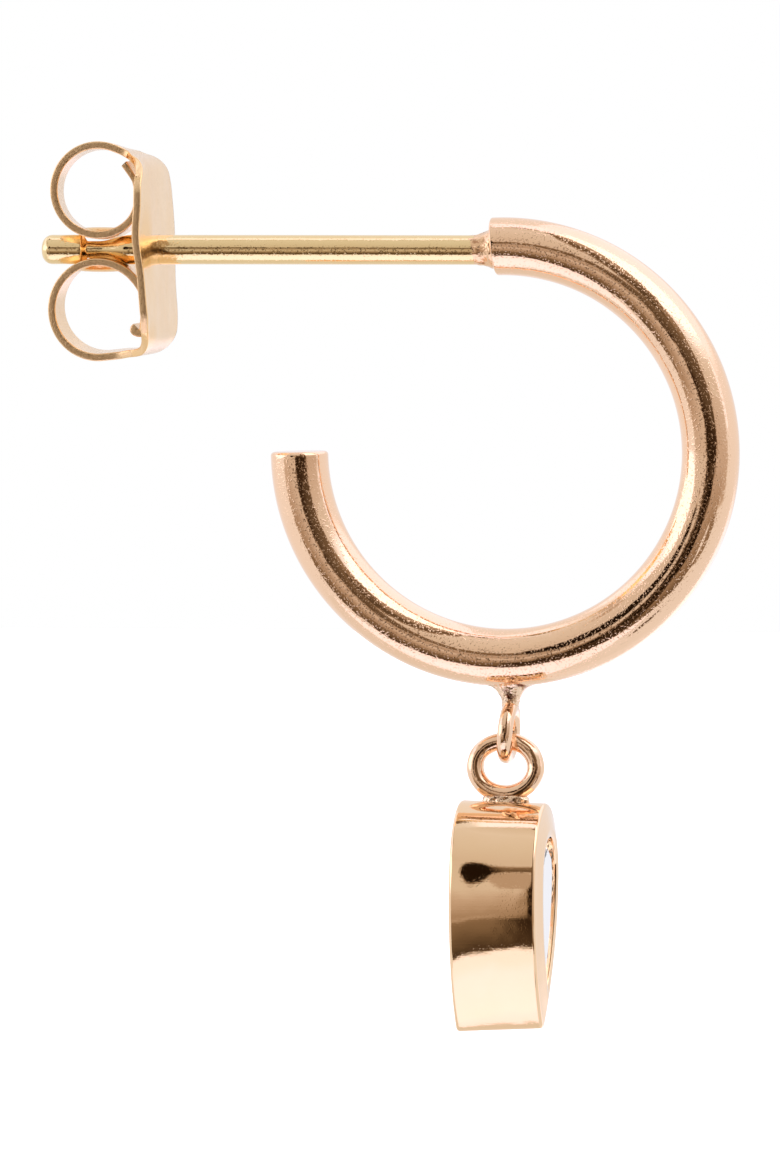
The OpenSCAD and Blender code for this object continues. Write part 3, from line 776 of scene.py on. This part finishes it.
# Studio: what the metal mirrors. Each patch lies between two azimuths and two heights in degrees, with
# the softness of its borders and its light at the lower and at the upper one. Azimuth 0 is straight in
# front of the hoop and 90 on its +X side. A later patch covers an earlier one.
PATCHES = (
    ((-200, 200), (-38, 28), 5, 0.88, 0.99),  # walls all round
    ((90, 200), (24, 95), 5, 1.45, 1.5),  # white paper behind the lamp, and over the top
    ((138, 200), (-38, -10), 4, 1.8, 1.5),  # lit foot of the wall behind, up to where the azimuth turns over
    ((-200, -160), (-38, -10), 4, 1.8, 1.5),  # the rest of it
    ((-142, -110), (53, 95), 5, 1.4, 1.5),  # white paper at the left, behind
    ((-138, -88), (28, 42), 4, 1.45, 1.45),  # its lower edge
    ((-200, 200), (77, 95), 2.5, 1.55, 1.7),  # ceiling
    ((-200, 27), (-95, -35.5), 1.5, 0.80, 0.85),  # table
    ((-72, 27), (-95, -35), 1.2, 1.56, 1.40),  # its lit part
    ((27, 130), (-95, -33), 2.5, 0.88, 0.90),  # its part at the right
    ((-60, 0), (-80, -47), 5, 1.65, 1.6),  # its brightest part
    ((-200, -57), (-34, 3), 2, 0.93, 1.0),  # left wall
    ((-100, -70), (40, 53), 3, 0.58, 0.62),  # shade over the left wall
    ((-95, -15), (52, 74), 4, 0.78, 0.88),  # shade under the ceiling
    ((-66, 7.5), (21, 68), 1.2, 0.68, 0.80),  # tan card over the camera
    ((-66, 7.5), (68, 82.5), 0.8, 0.82, 0.70),  # its upper part
    ((-56, 7.5), (-4, 24), 1.2, 0.72, 0.70),  # its lower part
    ((-68, -53), (38, 47), 3, 0.50, 0.50),  # clamp at its left edge
    ((-48, 8), (80.5, 84.5), 0.8, 0.20, 0.20),  # its upper edge
    ((8.7, 36.5), (19, 80), 1.2, 0.30, 0.52),  # dark doorway beside the camera
    ((11, 22), (17, 79), 2.2, 0.09, 0.20),  # darkest part of the doorway
    ((36.5, 97), (24, 34), 2, 0.85, 1.7),  # lower edge of the big lamp to the right
    ((36.5, 97), (33, 82), 1.5, 2.0, 2.0),  # the lamp
    ((36.5, 80), (-17, 15), 2, 0.51, 0.68),  # card below the lamp
    ((36.5, 80), (15, 25), 2, 0.69, 0.80),  # its upper part
    ((-56, -4), (-17, -1.5), 2, 0.35, 0.70),  # brown shade behind the table, at the left
    ((-54, -4), (-36.3, -17), 1.2, 0.05, 0.27),  # its foot
    ((9, 62), (-35.8, -3), 1.2, 0.11, 0.60),  # brown shade behind the table, at the right
    ((-60, -40), (-36, -31.5), 1.5, 0.95, 0.95),  # raised corners of the table
    ((46, 66), (-36, -32), 1.5, 0.95, 0.95),
    ((-14, 4), (11, 19), 1.5, 0.11, 0.26),  # arm of the stand
    ((-4, 36), (-2, 20), 2.0, 0.06, 0.19),  # camera
    ((-7.5, 30), (-5, 2), 2.0, 0.02, 0.05),  # its underside
    ((-7.5, 24), (-10, -4), 2.0, 0.015, 0.02),  # head of the stand, in two steps
    ((-7.5, 18), (-18, -9), 2.0, 0.015, 0.015),
    ((-10, 12), (-34.5, -17), 2.0, 0.07, 0.03),  # column of the stand
)
# Oval patches: middle, half sizes and light
OVALS = (
    ((-76, 11), (30, 14), 1.9),  # window
    ((-84, 27), (22, 7), 1.6),  # its glow on the wall
    ((88, 16), (5.5, 11), 1.4),  # gap beside the card below the lamp
    ((-20.5, 12.5), (9.2, 12), 0.015),  # black knob at the end of the stand's arm
    ((-8.5, 4.5), (4.5, 5.5), 0.5),  # light between the knob and the camera
    ((57, -25), (10, 7), 0.27),  # dark box at the back of the table
    ((46, -24), (5, 4.5), 0.95),  # its lit corner
    ((-98, 68), (12, 7), 0.20),  # dark hook under the ceiling
    ((48, -52), (7, 6), 0.13),  # dark tool on the table
    ((27, 33), (5, 5), 0.17),  # dark handle in the doorway
)
# Light where there is no patch, how far borders waver in degrees, and the soft border of an oval, as the
# squares of its outer and inner reach
BARE_LIGHT = 0.95
WAVER = 1.5
OVAL_BORDER = (1.2, 0.85)
# Colour of the light at some of its levels: it warms as it dims, as gold looks in a photograph
TONES = ((0.0, "#ffb880"), (0.1, "#ffd6a8"), (0.3, "#ffdcb8"), (0.6, "#ffede0"), (0.74, "#fff9f3"),
         (0.9, "#fafaff"), (1.28, "#f3f2ff"), (1.6, "#f1e7ff"), (2.0, "#fdfaff"))


def between(tree, value, bounds, soft):
    """Mask that is 1 between two bounds of a value, with soft borders"""
    low, high = bounds
    rises = node(tree, "ShaderNodeMapRange",
                 {"Value": value, "From Min": low - soft, "From Max": low + soft},
                 interpolation_type="SMOOTHSTEP")
    falls = node(tree, "ShaderNodeMapRange",
                 {"Value": value, "From Min": high + soft, "From Max": high - soft},
                 interpolation_type="SMOOTHSTEP")
    both = node(tree, "ShaderNodeMath", {0: rises.outputs[0], 1: falls.outputs[0]}, operation="MULTIPLY")
    return both.outputs[0]


def inside_oval(tree, place, middle, half):
    """Mask that is 1 inside an oval round a middle, with a soft border"""
    offset = node(tree, "ShaderNodeVectorMath", {0: place, 1: (*middle, 0)}, operation="SUBTRACT")
    scaled = node(tree, "ShaderNodeVectorMath", {0: offset.outputs[0], 1: (*half, 1)}, operation="DIVIDE")
    squared = node(tree, "ShaderNodeVectorMath", {0: scaled.outputs[0], 1: scaled.outputs[0]},
                   operation="DOT_PRODUCT")
    mask = node(tree, "ShaderNodeMapRange", {"Value": squared.outputs["Value"], "From Min": OVAL_BORDER[0],
                                             "From Max": OVAL_BORDER[1]}, interpolation_type="SMOOTHSTEP")
    return mask.outputs[0]


def studio_light():
    """Light tent with a dark doorway for the camera. What the camera sees straight is plain white."""
    world = bpy.data.worlds.new("light_tent")
    bpy.context.scene.world = world
    world.use_nodes = True
    tree = world.node_tree
    tree.nodes.clear()

    way = node(tree, "ShaderNodeTexCoord").outputs["Generated"]
    x, y, z = node(tree, "ShaderNodeSeparateXYZ", {"Vector": way}).outputs
    sway = node(tree, "ShaderNodeTexNoise", {"Vector": way, "Scale": 3.0, "Detail": 2.0})
    waver = node(tree, "ShaderNodeMath", {0: sway.outputs["Fac"], 1: 2 * WAVER, 2: -WAVER},
                 operation="MULTIPLY_ADD")
    ahead = node(tree, "ShaderNodeMath", {0: y, 1: -1.0}, operation="MULTIPLY")
    bearing = node(tree, "ShaderNodeMath", {0: x, 1: ahead.outputs[0]}, operation="ARCTAN2")
    rise = node(tree, "ShaderNodeMath", {0: z}, operation="ARCSINE")
    azimuth = node(tree, "ShaderNodeMath",
                   {0: bearing.outputs[0], 1: math.degrees(1), 2: waver.outputs[0]}, operation="MULTIPLY_ADD")
    height = node(tree, "ShaderNodeMath",
                  {0: rise.outputs[0], 1: math.degrees(1), 2: waver.outputs[0]}, operation="MULTIPLY_ADD")
    azimuth, height = azimuth.outputs[0], height.outputs[0]
    place = node(tree, "ShaderNodeCombineXYZ", {"X": azimuth, "Y": height}).outputs[0]

    light = BARE_LIGHT
    for around, up, soft, lower, upper in PATCHES:
        mask = node(tree, "ShaderNodeMath", {0: between(tree, azimuth, around, soft),
                                             1: between(tree, height, up, soft)}, operation="MULTIPLY")
        level = node(tree, "ShaderNodeMapRange",
                     {"Value": height, "From Min": up[0], "From Max": up[1],
                      "To Min": lower, "To Max": upper})
        light = node(tree, "ShaderNodeMix", {0: mask.outputs[0], 2: light, 3: level.outputs[0]},
                     data_type="FLOAT").outputs[0]
    for middle, half, level in OVALS:
        mask = inside_oval(tree, place, middle, half)
        light = node(tree, "ShaderNodeMix", {0: mask, 2: light, 3: level}, data_type="FLOAT").outputs[0]

    brightest = TONES[-1][0]
    share = node(tree, "ShaderNodeMath", {0: light, 1: brightest}, operation="DIVIDE")
    tones = node(tree, "ShaderNodeValToRGB", {"Fac": share.outputs[0]})
    stops = tones.color_ramp.elements
    for place_in_ramp, (level, colour) in enumerate(TONES):
        stop = stops[place_in_ramp] if place_in_ramp < 2 else stops.new(1.0)
        stop.position = level / brightest
        stop.color = linear(colour)
    mirrored = node(tree, "ShaderNodeBackground", {"Color": tones.outputs[0], "Strength": light})
    plain = node(tree, "ShaderNodeBackground", {"Color": linear("#ffffff"), "Strength": 1.0})
    kind = node(tree, "ShaderNodeLightPath")
    both = node(tree, "ShaderNodeMixShader", {0: kind.outputs["Is Camera Ray"], 1: mirrored.outputs[0],
                                              2: plain.outputs[0]})
    node(tree, "ShaderNodeOutputWorld", {"Surface": both.outputs[0]})


def floor():
    """Plain pale floor below the hanging earring, too matt to mirror"""
    half = 400.0
    clear = 12.0
    drop = cad_low.z / MM - clear
    points = [(-half, -half, drop), (half, -half, drop), (half, half, drop), (-half, half, drop)]
    piece = mesh_piece("floor", points, [(0, 1, 2, 3)])
    material, tree = new_material("matt_white_paper")
    paper = node(tree, "ShaderNodeBsdfPrincipled", {"Base Color": linear("#fbfaf8"), "Roughness": 1.0,
                                                    "Specular IOR Level": 0.0})
    node(tree, "ShaderNodeOutputMaterial", {"Surface": paper.outputs[0]})
    piece.data.materials.append(material)
    piece.visible_glossy = False


def overhead_lamp():
    """Broad soft lamp that keeps the floor white. Its own mirror image is part of the light tent."""
    lamp = bpy.data.lights.new("overhead", "SUN")
    lamp.energy = 2.2
    lamp.angle = math.radians(60)
    piece = bpy.data.objects.new("overhead", lamp)
    piece.visible_glossy = False
    piece.visible_transmission = False
    bpy.context.scene.collection.objects.link(piece)


# Camera: the frame's pixels are those of the 780 by 1170 picture
WIDTH, HEIGHT = 780, 1170
AZIMUTH, ELEVATION, ROLL = math.radians(10.0), math.radians(3.0), math.radians(-0.2)
DISTANCE = 350.0
PIXELS_PER_MM = 37.05
ORIGIN_PIXEL = (493.0, 250.0)


def camera():
    """Long lens at the photograph's angle, placed so that the frame's origin falls on its pixel"""
    back = Vector((math.sin(AZIMUTH) * math.cos(ELEVATION), -math.cos(AZIMUTH) * math.cos(ELEVATION),
                   math.sin(ELEVATION)))
    right = Vector((math.cos(AZIMUTH), math.sin(AZIMUTH), 0))
    up = back.cross(right)
    turned = right * math.cos(ROLL) + up * math.sin(ROLL)
    up = up * math.cos(ROLL) - right * math.sin(ROLL)
    aim = (turned * (WIDTH / 2 - ORIGIN_PIXEL[0]) + up * (ORIGIN_PIXEL[1] - HEIGHT / 2)) / PIXELS_PER_MM
    data = bpy.data.cameras.new("camera")
    data.sensor_width = 36
    data.lens = data.sensor_width * DISTANCE * PIXELS_PER_MM / HEIGHT
    data.clip_start = 0.01
    data.clip_end = 10
    piece = bpy.data.objects.new("camera", data)
    axes = Matrix((turned, up, back)).transposed().to_4x4()
    piece.matrix_world = Matrix.Translation((aim + back * DISTANCE) * MM) @ axes
    bpy.context.scene.collection.objects.link(piece)
    bpy.context.scene.camera = piece


studio_light()
floor()
overhead_lamp()
camera()
bpy.context.scene.view_settings.view_transform = "Standard"
